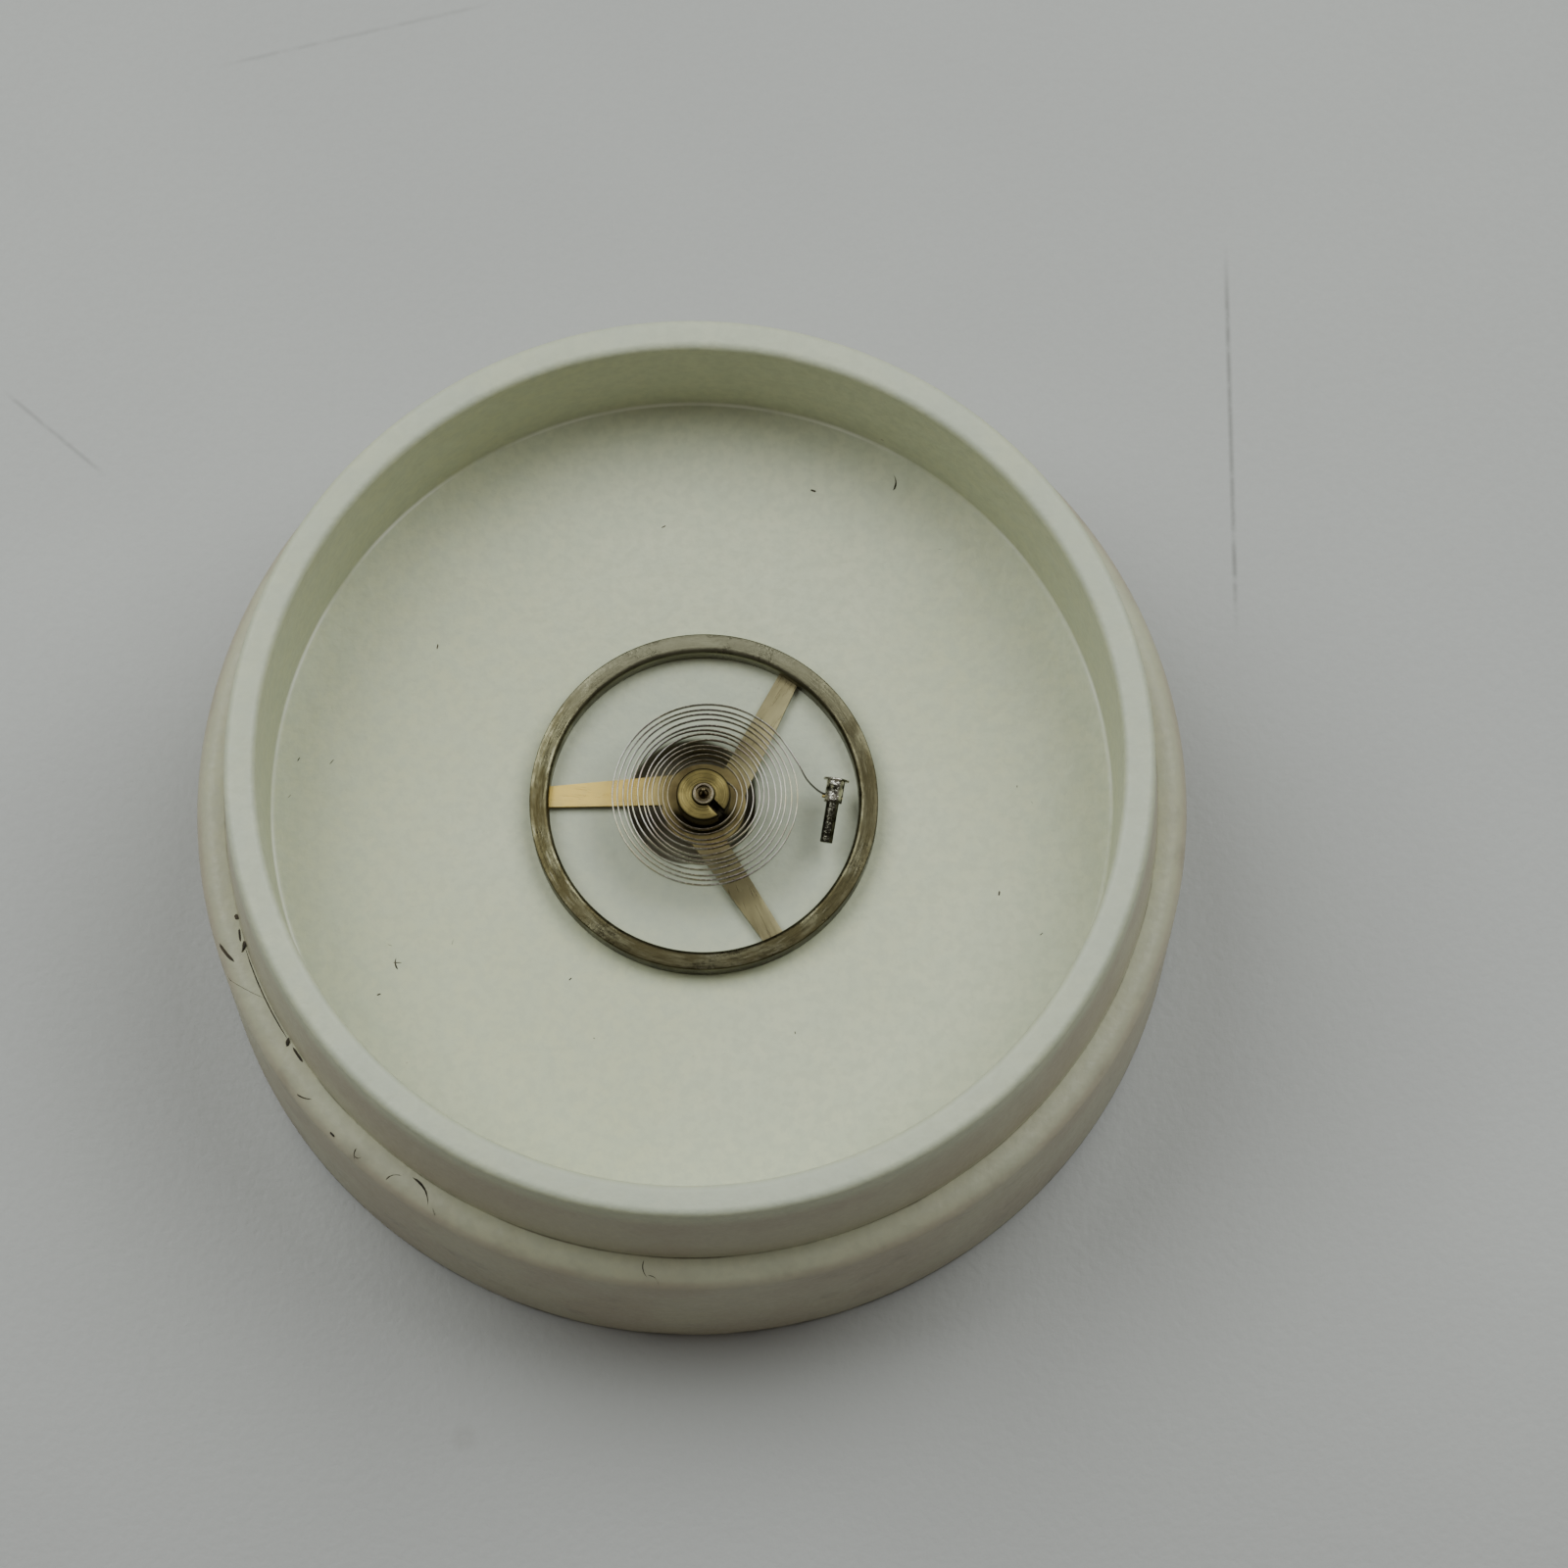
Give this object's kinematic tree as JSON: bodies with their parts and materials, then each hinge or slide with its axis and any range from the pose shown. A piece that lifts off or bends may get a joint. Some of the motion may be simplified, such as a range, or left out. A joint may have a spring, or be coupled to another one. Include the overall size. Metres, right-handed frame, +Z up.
{
  "type": "watch balance in parts dish",
  "caption": "Three-arm watch balance with staff, rollers, collet, flat hairspring and stud, lying loose in a round stepped white plastic parts dish.",
  "frame": {"origin": "centre of the dish's foot, on the surface that it stands on", "axes": "+Z up out of the dish along its axis; the hairspring's stud lies towards +X of the balance's staff, and the stud's post points to -Y"},
  "size_m": [0.0286, 0.0286, 0.0116],
  "materials": {
    "white_plastic": "satin moulded off-white plastic with small scratches and dust",
    "tarnished_brass": "worn nickel over brass, grey rim with brown tarnish and gilt arms",
    "polished_steel": "turned and polished steel",
    "gilt_brass": "turned brass, slightly dulled",
    "spring_steel": "bright flat-rolled spring steel with a faint straw and purple tint",
    "ruby": "polished synthetic ruby"
  },
  "bodies": {
    "dish": {"parts_dish": "white_plastic"},
    "stud": {"hairspring_stud": "polished_steel", "stud_pin": "gilt_brass"},
    "balance": {"balance_wheel": "tarnished_brass", "balance_staff": "polished_steel", "impulse_roller": "gilt_brass", "safety_roller": "gilt_brass", "impulse_jewel": "ruby", "collet": "gilt_brass", "collet_pin": "gilt_brass", "hairspring": "spring_steel"}
  },
  "joints": [
    {"name": "balance_lift", "type": "slide", "parent": "dish", "child": "stud", "axis": [0, 0, 1], "range_m": [0, 0.012]},
    {"name": "balance_swing", "type": "hinge", "parent": "stud", "child": "balance", "pos_m": [0.00035, -0.00014, 0.0073], "axis": [0, 0, 1], "range_deg": [-270, 270], "stiffness_Nm_per_rad": 0.0000005, "deforming": ["hairspring"]}
  ]
}
